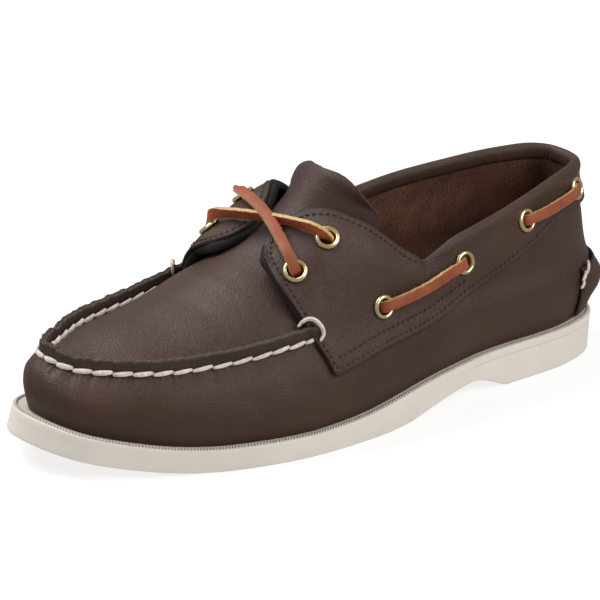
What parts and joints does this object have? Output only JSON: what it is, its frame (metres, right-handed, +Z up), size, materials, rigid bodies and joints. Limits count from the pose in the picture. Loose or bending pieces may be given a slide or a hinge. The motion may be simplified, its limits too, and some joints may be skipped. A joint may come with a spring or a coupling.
{
  "type": "boat shoe",
  "caption": "Left leather boat shoe with a hand-sewn moccasin toe, raised seam, laced eyestays, a lace run round the padded collar and a low rubber sole with a heel.",
  "frame": {"origin": "on the floor below the centre of the bounding box", "axes": "Z up, toe towards -Y, heel towards +Y, outer (lateral) side towards +X"},
  "size_m": [0.1062, 0.304, 0.1066],
  "materials": {
    "leather": "smooth oiled, soft sheen",
    "suede": "napped suede lining",
    "rubber": "matt moulded",
    "brass": "polished",
    "lace": "smooth face, raw edges"
  },
  "bodies": {
    "root": {"outsole": "rubber", "insole": "suede", "upper": "leather", "eyestay_and_band": "leather", "tongue": "leather", "collar_roll": "leather", "heel_lip": "leather", "eyelet_throat_lateral_lower": "brass", "eyelet_throat_lateral_upper": "brass", "eyelet_throat_medial_lower": "brass", "eyelet_throat_medial_upper": "brass", "eyelet_collar_lateral_1": "brass", "eyelet_collar_lateral_2": "brass", "eyelet_collar_lateral_3": "brass", "eyelet_collar_lateral_4": "brass", "eyelet_collar_medial_1": "brass", "eyelet_collar_medial_2": "brass", "eyelet_collar_medial_3": "brass", "eyelet_collar_medial_4": "brass", "lace_cross": "lace", "lace_lateral_front": "lace", "lace_lateral_rear": "lace", "lace_medial_front": "lace", "lace_medial_rear": "lace"}
  },
  "joints": []
}
